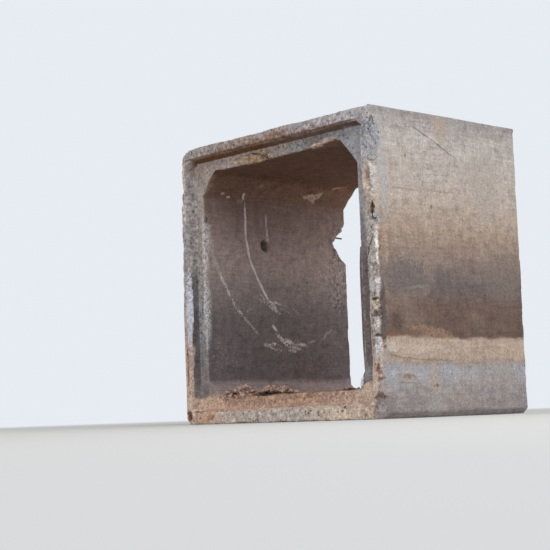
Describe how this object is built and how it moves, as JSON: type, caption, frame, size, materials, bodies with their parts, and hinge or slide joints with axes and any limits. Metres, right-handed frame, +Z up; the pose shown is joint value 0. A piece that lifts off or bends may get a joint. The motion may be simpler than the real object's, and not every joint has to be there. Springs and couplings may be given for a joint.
{
  "type": "precast concrete box culvert unit",
  "caption": "Rectangular precast concrete box culvert unit with haunched corners and a tapered socket and spigot joint, weathered and chipped.",
  "frame": {"origin": "under the middle of the unit, at the level it stands on", "axes": "+X across the span to the right seen from the socket, +Y along the waterway from the socket face to the spigot end, +Z up"},
  "size_m": [1.25, 1, 1.3],
  "materials": {
    "weathered_concrete": "rough, weathered and soil stained"
  },
  "bodies": {
    "root": {"box_culvert_unit": "weathered_concrete"}
  },
  "joints": []
}
